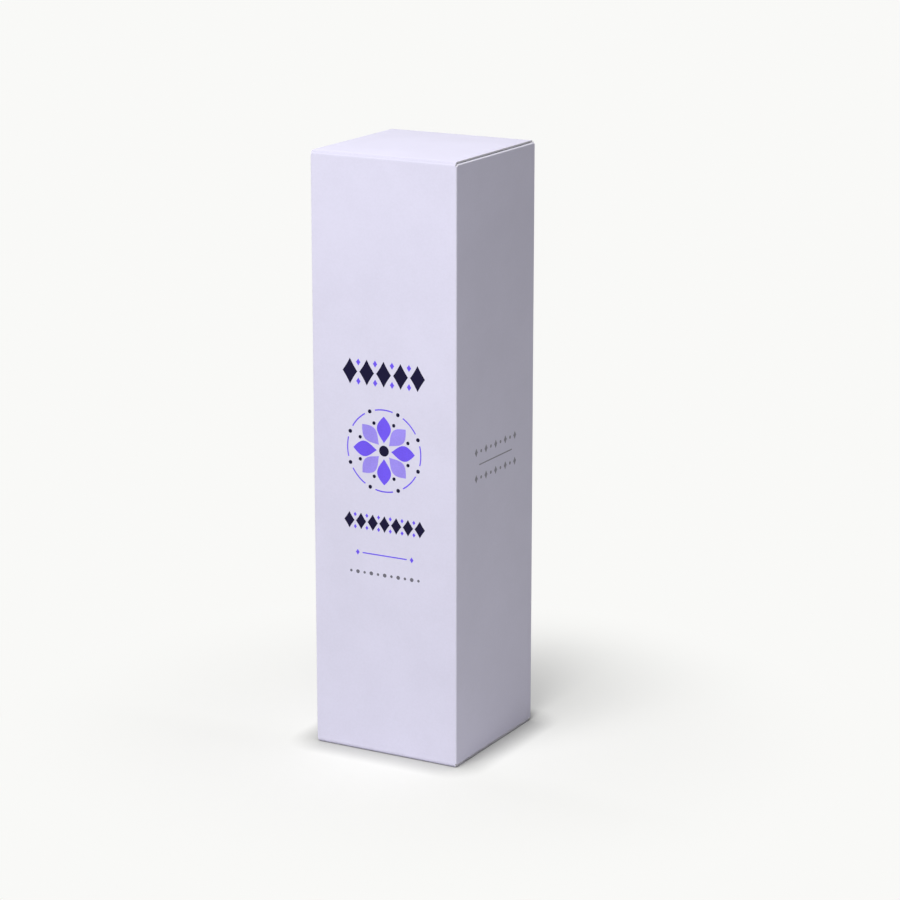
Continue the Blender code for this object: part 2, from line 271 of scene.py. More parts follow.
class CartonStageSettings(bpy.types.PropertyGroup):
    """Camera, lamp, floor and surroundings."""

    azimuth: bpy.props.FloatProperty(
        name="Azimuth",
        description="Camera's turn to the right of the front wall",
        subtype="ANGLE",
        unit="ROTATION",
        default=math.radians(28.90),
    )
    pitch: bpy.props.FloatProperty(
        name="Pitch",
        description="Camera's angle above the horizon",
        subtype="ANGLE",
        unit="ROTATION",
        default=math.radians(14.70),
    )
    distance: length_property(
        "Distance", "From the camera to the carton's middle", 0.732
    )
    aim_right: length_property("Aim right", "The camera's step to the right", 6.32 * MM)
    lens: bpy.props.FloatProperty(
        name="Lens",
        description="Focal length on a 36 mm sensor",
        subtype="DISTANCE_CAMERA",
        unit="CAMERA",
        default=118.0,
    )
    lamp_distance: length_property(
        "Lamp distance", "From the lamp to the carton's middle", 0.88
    )
    lamp_size: length_property("Lamp size", "Side of the square lamp", 0.42)
    lamp_power: bpy.props.FloatProperty(
        name="Lamp power",
        description="Power of the lamp",
        subtype="POWER",
        unit="POWER",
        default=9.0,
    )
    surroundings: share_property(
        "Surroundings", "Strength of the soft light from all around", 0.07
    )
    air: colour_property(
        "Air", "Colour of the soft light from all around", (0.945, 0.945, 0.985)
    )
    backdrop: colour_property(
        "Backdrop", "Colour seen behind the floor", (0.948, 0.948, 0.932)
    )
    floor: colour_property("Floor", "Colour of the floor", (0.920, 0.920, 0.898))
    bounce: colour_property(
        "Bounce", "The floor's colour where it only lights", (0.80, 0.80, 0.80)
    )


def board_settings(context):
    """The board's settings."""
    return context.scene.carton_board


def print_settings(context):
    """The print's settings."""
    return context.scene.carton_print


def stage_settings(context):
    """The stage's settings."""
    return context.scene.carton_stage


# ---------------------------------------------------------------- shader helpers


def add_node(tree, kind, sockets, **options):
    """Add a shader node; each socket gets a value or the output that feeds it."""
    node = tree.nodes.new(kind)
    for option, value in options.items():
        setattr(node, option, value)
    for key, value in sockets.items():
        if isinstance(value, bpy.types.NodeSocket):
            tree.links.new(value, node.inputs[key])
        else:
            node.inputs[key].default_value = value
    return node


def calc(tree, operation, first, second):
    """One sum on two numbers."""
    sockets = {0: first, 1: second}
    return add_node(tree, "ShaderNodeMath", sockets, operation=operation).outputs[0]


def unsigned(tree, value):
    """A number without its sign."""
    return calc(tree, "ABSOLUTE", value, 0.0)


def dot(tree, vector, direction):
    """How far a vector reaches along a direction."""
    sockets = {0: vector, 1: direction}
    node = add_node(tree, "ShaderNodeVectorMath", sockets, operation="DOT_PRODUCT")
    return node.outputs["Value"]


def stretch(tree, vector, scale):
    """Scale a vector, each axis by its own factor."""
    sockets = {0: vector, 1: scale}
    node = add_node(tree, "ShaderNodeVectorMath", sockets, operation="MULTIPLY")
    return node.outputs["Vector"]


def fade(tree, value, start, end, low=0.0, high=1.0):
    """Turn a value into a smooth step from low at the start to high at the end."""
    sockets = {"Value": value, 1: start, 2: end, 3: low, 4: high}
    step = {"interpolation_type": "SMOOTHSTEP"}
    return add_node(tree, "ShaderNodeMapRange", sockets, **step).outputs[0]


def blend_colours(tree, share, first, second):
    """Mix two colours."""
    sockets = {0: share, 6: rgba(first), 7: rgba(second)}
    node = add_node(tree, "ShaderNodeMix", sockets, data_type="RGBA")
    return node.outputs[2]


def blend_numbers(tree, share, first, second):
    """Mix two numbers."""
    node = add_node(tree, "ShaderNodeMix", {0: share, 2: first, 3: second})
    return node.outputs[0]


def noise(tree, vector, grain, detail=2.0):
    """Noise whose grains have about the given size in the vector's unit."""
    sockets = {"Vector": vector, "Scale": 1.0 / grain, "Detail": detail}
    return add_node(tree, "ShaderNodeTexNoise", sockets).outputs[0]


def rgba(colour):
    """A colour for a socket: an output stays, and three numbers get an alpha."""
    if isinstance(colour, bpy.types.NodeSocket):
        return colour
    return (*tuple(colour)[:3], 1.0)


def tinted(colour, factor):
    """A colour made lighter or darker."""
    return tuple(min(1.0, part * factor) for part in tuple(colour)[:3])


def toned(tree, share, colour, tones):
    """A colour that goes from its dark to its light tone."""
    dark, light = (tinted(colour, tone) for tone in tones)
    return blend_colours(tree, share, dark, light)


def new_material(name):
    """A new material with its node tree, its shader and the place in millimetres."""
    material = bpy.data.materials.new(name)
    material.use_nodes = True
    tree = material.node_tree
    shader = tree.nodes["Principled BSDF"]
    place = tree.nodes.new("ShaderNodeTexCoord")
    grid = stretch(tree, place.outputs["Object"], (PER_METRE,) * 3)
    return material, tree, shader, place, grid


def connect_surface(tree, shader, colour, roughness, height):
    """Join colour, roughness and a height in millimetres to the shader."""
    sockets = {"Strength": 1.0, "Distance": MM, "Height": height}
    bump = add_node(tree, "ShaderNodeBump", sockets)
    tree.links.new(colour, shader.inputs["Base Color"])
    tree.links.new(roughness, shader.inputs["Roughness"])
    tree.links.new(bump.outputs["Normal"], shader.inputs["Normal"])


# ---------------------------------------------------------------- board and inks

# Grain sizes, and how far fibres and swirls are drawn out
MOTTLE_MM = 14.0
COAT_GRAIN_MM = 0.55
FIBRE_MM = 0.22
FIBRE_LENGTH = (1.0, 1.0, 0.22)
LAYER_WOBBLE_MM = 0.9
INK_GRAIN_MM = 0.35
INK_PATCH_MM = 6.0
GLUE_SWIRL_MM = 2.2
GLUE_SWIRL_LENGTH = (1.0, 1.0, 0.3)
GLUE_BUBBLE_MM = 0.5

# Layers of the board that show at a cut edge, each from its depth on
LAYERS = (
    (0.00, "printed"),
    (0.07, "liner"),
    (0.17, "core"),
    (0.80, "core"),
    (0.92, "liner"),
)
LIGHT_FIBRES = 0.22

# Each side of the board, told by how far the surface faces outward
FACES_OUT = (0.30, 0.55)
FACES_IN = (-0.30, -0.55)
BENT_OUT = (0.992, 0.86)

# Each side of a web, told by its depth in the board
WEB_COAT = (0.02, 0.12)
WEB_LINER = (0.85, 0.95)

# A lid's crease hardly faces sideways, and an upright crease hardly faces up
HARDLY_SIDEWAYS = (0.3, 0.02)
FACES_UP = (0.02, 0.3)

# Shares of the finer and of the coarser of two noises that are mixed
GRAIN_SHARE = 0.4
PATCH_SHARE = 0.5

# Noise keeps to its middle: the part of it that is used for each purpose
MIDDLE_TONES = (0.28, 0.72)
MIDDLE_GRAIN = (0.3, 0.7)
MIDDLE_CRACKS = (0.25, 0.75)
MIDDLE_WOBBLE = (0.2, 0.8)

# What noise is turned into: cracks in a whitened crease, and a shift of the cut layers
CRACKED = (0.7, 1.0)
WOBBLE = (-0.05, 0.05)

# Roughness: the coat's varies around its setting
COAT_VARIES = (-0.05, 0.06)
INK_ROUGHNESS = (0.55, 0.68)
GLUE_ROUGHNESS = (0.28, 0.46)
INSIDE_ROUGHNESS = 0.86
CREASE_ROUGHNESS = 0.85

# Darkest and lightest tones of a colour
INSIDE_TONES = (0.9, 1.08)
INK_TONES = (0.93, 1.09)
GLUE_TONES = (0.82, 1.12)

# Where the webs in the creases store the depth in the board, from 0 outside to 1 inside
DEPTH_LAYER = "board_depth"

# How much the ink mirrors
INK_GLOSS = 0.12

# Relief of the coat, of the inner side and of the glue
COAT_RELIEF_MM = 0.0025
INSIDE_RELIEF_MM = 0.012
GLUE_RELIEF_MM = 0.02


def edge_colour(tree, depth, fibres, board):
    """Layers that show at a cut edge: coat, liner, core and the inner liner."""
    ramp = tree.nodes.new("ShaderNodeValToRGB")
    stops = ramp.color_ramp.elements
    while len(stops) < len(LAYERS):
        stops.new(1.0)
    for stop, (position, layer) in zip(stops, LAYERS):
        stop.position = position
        stop.color = rgba(getattr(board, layer))
    tree.links.new(depth, ramp.inputs["Fac"])
    light = blend_colours(tree, LIGHT_FIBRES, ramp.outputs["Color"], board.liner)
    return blend_colours(tree, fibres, ramp.outputs["Color"], light)


def board_material(name, board, outward=None, skin=0.0):
    """Coated folding board: printed outside, plain fibres inside, layers at its cuts.

    A flat piece has a printed side that faces outward and lies at skin, measured from
    the origin. The web in a crease has neither: it bends, so its vertices store depths.
    """
    material, tree, shader, place, grid = new_material(name)
    if outward:
        depth = calc(tree, "SUBTRACT", skin * PER_METRE, dot(tree, grid, outward))
        depth = calc(tree, "DIVIDE", depth, BOARD * PER_METRE)
        facing = dot(tree, place.outputs["Normal"], outward)
    else:
        stored = add_node(tree, "ShaderNodeAttribute", {}, attribute_name=DEPTH_LAYER)
        depth = stored.outputs["Fac"]
        outside = fade(tree, depth, *WEB_COAT, 1.0, 0.0)
        facing = calc(tree, "SUBTRACT", outside, fade(tree, depth, *WEB_LINER))
    coated = fade(tree, facing, *FACES_OUT)
    uncoated = fade(tree, facing, *FACES_IN)
    stretched = fade(tree, facing, *BENT_OUT)

    mottle = noise(tree, grid, MOTTLE_MM, detail=3.0)
    coat_grain = noise(tree, grid, COAT_GRAIN_MM, detail=3.0)
    fibres = noise(tree, stretch(tree, grid, FIBRE_LENGTH), FIBRE_MM, detail=4.0)

    tone = blend_numbers(tree, GRAIN_SHARE, mottle, coat_grain)
    tone = fade(tree, tone, *MIDDLE_TONES)
    coat = toned(tree, tone, board.printed, (1 - board.mottle, 1 + board.mottle))
    sideways = unsigned(tree, dot(tree, place.outputs["Normal"], (1, 0, 0)))
    upwards = unsigned(tree, dot(tree, place.outputs["Normal"], (0, 0, 1)))
    # Painted shade on a lid's crease, where its bend faces the lamp
    on_lid = fade(tree, sideways, *HARDLY_SIDEWAYS)
    lid_crease = calc(tree, "MULTIPLY", stretched, on_lid)
    lid_crease_painted_shade = fade(tree, lid_crease, 0.0, 1.0, 1.0, board.lid_crease_painted_shade)
    coat = stretch(tree, coat, lid_crease_painted_shade)
    # Lighter coat in the creases that are no lid's: cracked coat, and a painted
    # highlight that is strongest where a crease faces up
    cracks = fade(tree, fibres, *MIDDLE_CRACKS, *CRACKED)
    wear_and_highlight = fade(tree, upwards, *FACES_UP, board.wall_wear_and_highlight, 1.0)
    wear_and_highlight = calc(tree, "MULTIPLY", wear_and_highlight, calc(tree, "SUBTRACT", stretched, lid_crease))
    coat = blend_colours(tree, calc(tree, "MULTIPLY", wear_and_highlight, cracks), coat, board.worn_and_highlit)

    inner = toned(tree, fibres, board.inside, INSIDE_TONES)
    wobble = noise(tree, grid, LAYER_WOBBLE_MM)
    depth = calc(tree, "ADD", depth, fade(tree, wobble, *MIDDLE_WOBBLE, *WOBBLE))
    cut = edge_colour(tree, depth, fibres, board)

    colour = blend_colours(tree, coated, cut, coat)
    colour = blend_colours(tree, uncoated, colour, inner)
    limits = (board.roughness + change for change in COAT_VARIES)
    coat_roughness = fade(tree, coat_grain, *MIDDLE_GRAIN, *limits)
    coat_roughness = blend_numbers(tree, stretched, coat_roughness, CREASE_ROUGHNESS)
    roughness = blend_numbers(tree, coated, INSIDE_ROUGHNESS, coat_roughness)
    coat_height = calc(tree, "MULTIPLY", coat_grain, COAT_RELIEF_MM)
    inner_height = calc(tree, "MULTIPLY", fibres, INSIDE_RELIEF_MM)
    height = blend_numbers(tree, coated, inner_height, coat_height)
    connect_surface(tree, shader, colour, roughness, height)
    return material


def ink_material(name, colour):
    """Printing ink: a thin matt film that lets the coat's grain through."""
    material, tree, shader, _, grid = new_material(name)
    cover = noise(tree, grid, INK_GRAIN_MM, detail=3.0)
    patches = noise(tree, grid, INK_PATCH_MM)
    tone = blend_numbers(tree, PATCH_SHARE, cover, patches)
    tone = fade(tree, tone, *MIDDLE_GRAIN)
    body = toned(tree, tone, colour, INK_TONES)
    roughness = fade(tree, cover, *MIDDLE_GRAIN, *INK_ROUGHNESS)
    height = calc(tree, "MULTIPLY", cover, COAT_RELIEF_MM)
    connect_surface(tree, shader, body, roughness, height)
    shader.inputs["Specular IOR Level"].default_value = INK_GLOSS
    return material


def glue_material(name, colour):
    """Dried glue: glossy and slightly uneven."""
    material, tree, shader, _, grid = new_material(name)
    swirls = stretch(tree, grid, GLUE_SWIRL_LENGTH)
    swirls = noise(tree, swirls, GLUE_SWIRL_MM, detail=3.0)
    bubbles = noise(tree, grid, GLUE_BUBBLE_MM)
    body = toned(tree, swirls, colour, GLUE_TONES)
    roughness = fade(tree, bubbles, *MIDDLE_GRAIN, *GLUE_ROUGHNESS)
    height = calc(tree, "MULTIPLY", swirls, GLUE_RELIEF_MM)
    connect_surface(tree, shader, body, roughness, height)
    return material


def smooth_bends_group():
    """Geometry nodes that weld a packed mesh and smooth its rolled bends."""
    group = bpy.data.node_groups.new("smooth_bends", "GeometryNodeTree")
    for way in ("INPUT", "OUTPUT"):
        group.interface.new_socket("Mesh", in_out=way, socket_type="NodeSocketGeometry")
    start = group.nodes.new("NodeGroupInput")
    end = group.nodes.new("NodeGroupOutput")
    welded = add_node(
        group,
        "GeometryNodeMergeByDistance",
        {"Geometry": start.outputs[0], "Distance": WELD_DISTANCE},
    )
    plain = add_node(
        group,
        "GeometryNodeRemoveAttribute",
        {"Geometry": welded.outputs[0], "Name": "custom_normal"},
    )
    smooth = add_node(
        group,
        "GeometryNodeSetShadeSmooth",
        {"Geometry": plain.outputs[0], "Shade Smooth": True},
        domain="FACE",
    )
    angle = group.nodes.new("GeometryNodeInputMeshEdgeAngle")
    sharp = add_node(
        group,
        "FunctionNodeCompare",
        {0: angle.outputs["Unsigned Angle"], 1: SMOOTH_LIMIT},
        operation="GREATER_THAN",
    )
    crisp = add_node(
        group,
        "GeometryNodeSetShadeSmooth",
        {
            "Geometry": smooth.outputs[0],
            "Selection": sharp.outputs[0],
            "Shade Smooth": False,
        },
        domain="EDGE",
    )
    group.links.new(crisp.outputs[0], end.inputs[0])
    return group


def dress(piece, material):
    """Put one material on every slot of a piece."""
    if not piece.material_slots:
        piece.data.materials.append(material)
    for slot in piece.material_slots:
        slot.material = material


# ---------------------------------------------------------------- mesh helpers


def finish_mesh(name, shape, collection):
    """Turn a bmesh into an object with crisp edges and smooth curves."""
    bmesh.ops.recalc_face_normals(shape, faces=shape.faces)
    mesh = bpy.data.meshes.new(name)
    shape.to_mesh(mesh)
    shape.free()
    mesh.shade_smooth()
    mesh.set_sharp_from_angle(angle=SMOOTH_LIMIT)
    piece = bpy.data.objects.new(name, mesh)
    collection.objects.link(piece)
    return piece


def sweep(name, section, middle, along, half_length):
    """Sweep a closed section both ways along a line, into a closed solid."""
    shape = bmesh.new()
    rows = []
    for end in (-half_length, half_length):
        offset = along * end
        rows.append([shape.verts.new(middle + point + offset) for point in section])
    low, high = rows
    count = len(section)
    for index in range(count):
        after = (index + 1) % count
        shape.faces.new((low[index], low[after], high[after], high[index]))
    shape.faces.new(low[::-1])
    shape.faces.new(high)
    return finish_mesh(name, shape, bpy.context.scene.collection)


# Web in a crease: points across its narrow middle and over each half of its bead, how
# wide that half is, and the share of the packed gap that the middle fills
WEB_STEPS = 12
BEAD_STEPS = 6
BEAD_HALF_WIDTH = 0.13 * MM
WEB_SHARE = 0.8


def web_section(across, inward, inside_radius, bead):
    """Section of the board left in a crease, from its outer skin to the inner bead.

    The narrow middle has many points side by side: they fan out when the flap opens.
    """
    half = CREASE_GAP / 2 * WEB_SHARE
    centre = BOARD + inside_radius
    points = [(-half, 0.0), (half, 0.0)]
    spread = []
    for step in range(BEAD_STEPS):
        turn = math.radians(90) * step / BEAD_STEPS
        spread.append((BEAD_HALF_WIDTH * math.cos(turn), bead * math.sin(turn)))
    reach = min(BEAD_HALF_WIDTH, inside_radius)
    right = []
    for out, rise in spread:
        out = out * reach / BEAD_HALF_WIDTH
        skin = centre - math.sqrt(max(inside_radius**2 - out**2, 0.0))
        right.append((out, skin + rise))
    points += [point for point in right if point[0] > half]
    for step in range(WEB_STEPS + 1):
        points.append((half - 2 * half * step / WEB_STEPS, BOARD + bead))
    points += [(-out, deep) for out, deep in reversed(right) if out > half]
    return [across * out + inward * deep for out, deep in points]


def dress_web(piece, middle, inward, board):
    """Store how deep in the board each of a web's vertices lies, and dress it."""
    layer = piece.data.attributes.new(DEPTH_LAYER, "FLOAT", "POINT")
    for vertex, depth in zip(piece.data.vertices, layer.data):
        depth.value = (vertex.co - middle).dot(inward) / BOARD
    dress(piece, board_material(piece.name + "_board", board))


def crease_directions(first, second, axis):
    """Across the crease from the first panel to the second, and into the board."""
    outer = Vector(OUTWARD[first]) + Vector(OUTWARD[second])
    inward = -outer.normalized()
    return axis.cross(inward), inward


# ---------------------------------------------------------------- print helpers

# Points on each side of a lozenge and of a petal, and around a disc
LOZENGE_STEPS = 6
PETAL_STEPS = 14
DISC_STEPS = 28

# How hollow a lozenge's sides are, and how far the ink reaches into the board
LOZENGE_HOLLOW = 0.05
INK_SINK = 0.004 * MM

# Printed walls: a point on the wall, the direction across it and the way out of it
PRINTED_WALLS = {
    "front": (Vector((0, -HALF_DEPTH, 0)), Vector((1, 0, 0)), Vector((0, -1, 0))),
    "right": (Vector((HALF_WIDTH, 0, 0)), Vector((0, 1, 0)), Vector((1, 0, 0))),
}

# Rosette. Its ring, and its dots with a radius each, lie at shares of its own radius,
# and each petal has an arc of the ring that is a share of the step between petals
PETAL_START_MM, PETAL_WIDTH_MM = 2.0, 3.9
PETAL_SWELL = 1.12
RING, RING_WIDTH_MM, RING_SHARE = 1.19, 0.32, 0.62
ROSETTE_DOTS_MM = ((0.84, 0.45), (RING, 0.5))
HUB_RADIUS_MM = 1.35

# Lozenge bands: count, pitch, and a lozenge's width and height. The sparks between
# the lozenges have shares of that height and width
UPPER_BAND_MM = (5, 4.7, 4.1, 6.4)
LOWER_BAND_MM = (7, 3.3, 2.9, 4.2)
SPARK_RISE, SPARK_WIDTH, SPARK_HEIGHT = 0.37, 0.3, 0.28

# Rule with a mark at each end, and the row of dots
RULE_MM = (12.5, 0.3)
RULE_MARK_AT_MM, RULE_MARK_MM = 7.6, (1.1, 1.5)
DOTS, DOT_PITCH_MM, DOT_RADII_MM = 11, 1.9, (0.34, 0.5)

# Side ornament: a rule between two rows of marks
SIDE_RULE_MM = (17.0, 0.3)
SIDE_ROW_AT_MM, SIDE_MARKS, SIDE_PITCH_MM = 3.3, 9, 2.5
SIDE_DOT_MM, SIDE_LOZENGE_MM = 0.42, (1.5, 2.1)


def lozenge(middle, width, height):
    """Lozenge with slightly hollow sides, in millimetres."""
    tips = [(width / 2, 0), (0, height / 2), (-width / 2, 0), (0, -height / 2)]
    points = []
    for index, tip in enumerate(tips):
        after = tips[(index + 1) % len(tips)]
        for step in range(LOZENGE_STEPS):
            share = step / LOZENGE_STEPS
            pull = 1 - 4 * LOZENGE_HOLLOW * share * (1 - share)
            x = (tip[0] * (1 - share) + after[0] * share) * pull
            y = (tip[1] * (1 - share) + after[1] * share) * pull
            points.append((middle[0] + x, middle[1] + y))
    return points


def petal(middle, turn, start, end, width):
    """Pointed petal from the start to the end radius, at an angle."""
    points = []
    for side in (1, -1):
        for step in range(PETAL_STEPS):
            share = step / PETAL_STEPS
            if side < 0:
                share = 1 - share
            reach = start + (end - start) * share
            swell = math.sin(math.pi * share**PETAL_SWELL) if 0 < share < 1 else 0.0
            off = side * width / 2 * swell
            x = reach * math.cos(turn) - off * math.sin(turn)
            y = reach * math.sin(turn) + off * math.cos(turn)
            points.append((middle[0] + x, middle[1] + y))
    return points


def arc(middle, radius, turn, sweep, width):
    """Thin arc around a middle."""
    points = []
    for side in (1, -1):
        for step in range(PETAL_STEPS + 1):
            share = side * (step / PETAL_STEPS - 0.5)
            angle = turn + sweep * share
            reach = radius + side * width / 2
            x = middle[0] + reach * math.cos(angle)
            points.append((x, middle[1] + reach * math.sin(angle)))
    return points


def disc(middle, radius):
    """Round dot."""
    points = []
    for step in range(DISC_STEPS):
        turn = 2 * math.pi * step / DISC_STEPS
        x = middle[0] + radius * math.cos(turn)
        points.append((x, middle[1] + radius * math.sin(turn)))
    return points


def bar(middle, width, height):
    """Thin bar with round ends."""
    points = []
    for side in (1, -1):
        for step in range(DISC_STEPS // 2 + 1):
            turn = math.pi * step / (DISC_STEPS // 2) - math.pi / 2
            x = side * (width / 2 - height / 2 + height / 2 * math.cos(turn))
            y = side * height / 2 * math.sin(turn)
            points.append((middle[0] + x, middle[1] + y))
    return points


def print_on_wall(name, wall, shapes, inks, thickness):
    """Lay flat ink shapes on the front or the right wall, as one piece.

    Shapes are pairs of an outline in millimetres and the number of its ink.
    """
    base, across, out = PRINTED_WALLS[wall]
    up = Vector((0, 0, 1))
    shape = bmesh.new()
    for outline, number in shapes:
        rings = []
        for level in (-INK_SINK, thickness):
            corners = [
                base + across * (x * MM) + up * (y * MM) + out * level
                for x, y in outline
            ]
            rings.append([shape.verts.new(corner) for corner in corners])
        low, high = rings
        faces = [shape.faces.new(low[::-1]), shape.faces.new(high)]
        for index in range(len(outline)):
            after = (index + 1) % len(outline)
            faces.append(
                shape.faces.new((low[index], low[after], high[after], high[index]))
            )
        for face in faces:
            face.material_index = number
    piece = finish_mesh(name, shape, bpy.context.scene.collection)
    for material in inks:
        piece.data.materials.append(material)
    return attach(piece, "sleeve")


def ink(context, name):
    """The material of one of the print's inks, made once."""
    found = bpy.data.materials.get("ink_" + name)
    return found or ink_material("ink_" + name, getattr(print_settings(context), name))


# ---------------------------------------------------------------- operators


class CARTON_OT_dress_board(bpy.types.Operator):
    """Give every panel and flap its board, and smooth the rolled bends."""

    bl_idname = "carton.dress_board"
    bl_label = "Board panels and flaps"

    def execute(self, context):
        board = board_settings(context)
        group = smooth_bends_group()
        for name, outward in OUTWARD.items():
            piece = NODES[name]
            direction = Vector(outward)
            skin = max(vertex.co.dot(direction) for vertex in piece.data.vertices)
            dress(piece, board_material(name + "_board", board, outward, skin))
            modifier = piece.modifiers.new("smooth bends", "NODES")
            modifier.node_group = group
        return {"FINISHED"}


class CARTON_OT_dress_glue(bpy.types.Operator):
    """Give the strip of glue in the side seam its finish."""

    bl_idname = "carton.dress_glue"
    bl_label = "Glue line"

    def execute(self, context):
        glue = glue_material("dried_glue", board_settings(context).glue)
        dress(NODES["glue_line"], glue)
        return {"FINISHED"}


class CARTON_OT_add_crease_webs(bpy.types.Operator):
    """Add the board that stays whole in each moving crease."""

    bl_idname = "carton.add_crease_webs"
    bl_label = "Moving creases"

    def execute(self, context):
        board = board_settings(context)
        for name, panel, flap, (half_length, inside_radius) in MOVING_CREASES:
            joint = JOINTS[name + "_crease"]
            pivot, axis = Vector(joint["pos_m"]), Vector(joint["axis"])
            across, inward = crease_directions(panel, flap, axis)
            section = web_section(across, inward, inside_radius, board.bead)
            piece = sweep(name + "_crease_web", section, pivot, axis, half_length)
            dress_web(piece, pivot, inward, board)
            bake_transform(piece)
        return {"FINISHED"}


class CARTON_OT_add_wall_webs(bpy.types.Operator):
    """Add the board that stays whole in each crease between two walls."""

    bl_idname = "carton.add_wall_webs"
    bl_label = "Wall creases"

    def execute(self, context):
        board = board_settings(context)
        axis = Vector((0, 0, 1))
        for name, first, second, (x, y), half_length in WALL_CREASES:
            middle = Vector((x, y, HEIGHT / 2))
            across, inward = crease_directions(first, second, axis)
            section = web_section(across, inward, WALL_BEND_INSIDE, board.bead)
            piece = sweep(name + "_crease_web", section, middle, axis, half_length)
            dress_web(piece, middle, inward, board)
            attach(piece, "sleeve")
        return {"FINISHED"}


class CARTON_OT_add_rosette(bpy.types.Operator):
    """Print the rosette on the front wall."""

    bl_idname = "carton.add_rosette"
    bl_label = "Rosette"

    def execute(self, context):
        style = print_settings(context)
        middle = (0, style.rosette_height * PER_METRE)
        radius = style.rosette_radius * PER_METRE
        step = 2 * math.pi / style.petals
        shapes = []
        for number in range(style.petals):
            turn = math.pi / 2 + number * step
            leaf = petal(middle, turn, PETAL_START_MM, radius, PETAL_WIDTH_MM)
            shapes.append((leaf, number % 2))
            ring = arc(middle, radius * RING, turn, step * RING_SHARE, RING_WIDTH_MM)
            shapes.append((ring, 0))
            between = turn + step / 2
            for reach, size in ROSETTE_DOTS_MM:
                spot = (
                    middle[0] + radius * reach * math.cos(between),
                    middle[1] + radius * reach * math.sin(between),
                )
                shapes.append((disc(spot, size), 2))
        shapes.append((disc(middle, HUB_RADIUS_MM), 2))
        inks = [ink(context, name) for name in ("violet", "lilac", "navy")]
        print_on_wall("front_rosette", "front", shapes, inks, style.ink)
        return {"FINISHED"}


class CARTON_OT_add_bands(bpy.types.Operator):
    """Print the two lozenge bands on the front wall."""

    bl_idname = "carton.add_bands"
    bl_label = "Lozenge bands"

    def execute(self, context):
        style = print_settings(context)
        inks = [ink(context, name) for name in ("navy", "violet")]
        bands = (
            ("front_upper_band", style.upper_band_height, UPPER_BAND_MM),
            ("front_lower_band", style.lower_band_height, LOWER_BAND_MM),
        )
        for name, height, (count, pitch, width, tall) in bands:
            shapes = []
            level = height * PER_METRE
            for number in range(count):
                x = (number - (count - 1) / 2) * pitch
                shapes.append((lozenge((x, level), width, tall), 0))
                if number == 0:
                    continue
                for side in (-1, 1):
                    spot = (x - pitch / 2, level + side * tall * SPARK_RISE)
                    spark = lozenge(spot, width * SPARK_WIDTH, tall * SPARK_HEIGHT)
                    shapes.append((spark, 1))
            print_on_wall(name, "front", shapes, inks, style.ink)
        return {"FINISHED"}


class CARTON_OT_add_rules(bpy.types.Operator):
    """Print the thin rule and the row of dots under the bands."""

    bl_idname = "carton.add_rules"
    bl_label = "Rule and dots"

    def execute(self, context):
        style = print_settings(context)
        level = style.rule_height * PER_METRE
        shapes = [(bar((0, level), *RULE_MM), 0)]
        for side in (-1, 1):
            spot = (side * RULE_MARK_AT_MM, level)
            shapes.append((lozenge(spot, *RULE_MARK_MM), 0))
        inks = [ink(context, "violet")]
        print_on_wall("front_rule", "front", shapes, inks, style.ink)
        level = style.dots_height * PER_METRE
        shapes = []
        for number in range(DOTS):
            spot = ((number - DOTS // 2) * DOT_PITCH_MM, level)
            shapes.append((disc(spot, DOT_RADII_MM[number % 2]), 0))
        inks = [ink(context, "grey")]
        print_on_wall("front_dots", "front", shapes, inks, style.ink)
        return {"FINISHED"}


class CARTON_OT_add_side_ornament(bpy.types.Operator):
    """Print the small ornament on the right wall."""

    bl_idname = "carton.add_side_ornament"
    bl_label = "Side ornament"

    def execute(self, context):
        style = print_settings(context)
        level = style.side_height * PER_METRE
        shapes = [(bar((0, level), *SIDE_RULE_MM), 0)]
        for side in (-1, 1):
            row = level + side * SIDE_ROW_AT_MM
            for number in range(SIDE_MARKS):
                spot = ((number - SIDE_MARKS // 2) * SIDE_PITCH_MM, row)
                if number % 2:
                    shapes.append((disc(spot, SIDE_DOT_MM), 0))
                else:
                    shapes.append((lozenge(spot, *SIDE_LOZENGE_MM), 0))
        inks = [ink(context, "pale_grey")]
        print_on_wall("side_ornament", "right", shapes, inks, style.ink)
        return {"FINISHED"}


# ---------------------------------------------------------------- stage

# Floor: its disc, and from where to where its shadow fades, out from the middle
FLOOR_RADIUS = 6.0
FLOOR_STEPS = 96
NEAR_FLOOR = 0.03
FAR_FLOOR = 0.11
SHADOW_SHARE = 0.5

# Floor in front, toned down because the front wall throws light on it
FRONT_START = -15 * MM
FRONT_END = -30 * MM
FRONT_TONE = 0.93

# Contact shadow: how far it reaches, and how deep it is
CONTACT_REACH = 8 * MM
CONTACT_DEPTH = 3.0

# Where light passes the floor: under the carton, and right under a flap beside it
UNDER_CARTON = 19.5 * MM
BESIDE_CARTON = 20.5 * MM
TOUCHING_FLOOR = 0.3 * MM

# Lamp and camera
LAMP_DIRECTION = (0.02, -0.61, 1.0)
AIM_UP = -1.26 * MM
SENSOR_WIDTH_MM = 36.0
CLIP_START, CLIP_END = 0.01, 20.0


def seen_directly(tree):
    """Share of rays that should meet the plain backdrop: seen, mirrored or through."""
    path = tree.nodes.new("ShaderNodeLightPath")
    seen = calc(
        tree,
        "MAXIMUM",
        path.outputs["Is Camera Ray"],
        path.outputs["Is Glossy Ray"],
    )
    return calc(tree, "MAXIMUM", seen, path.outputs["Is Transmission Ray"])


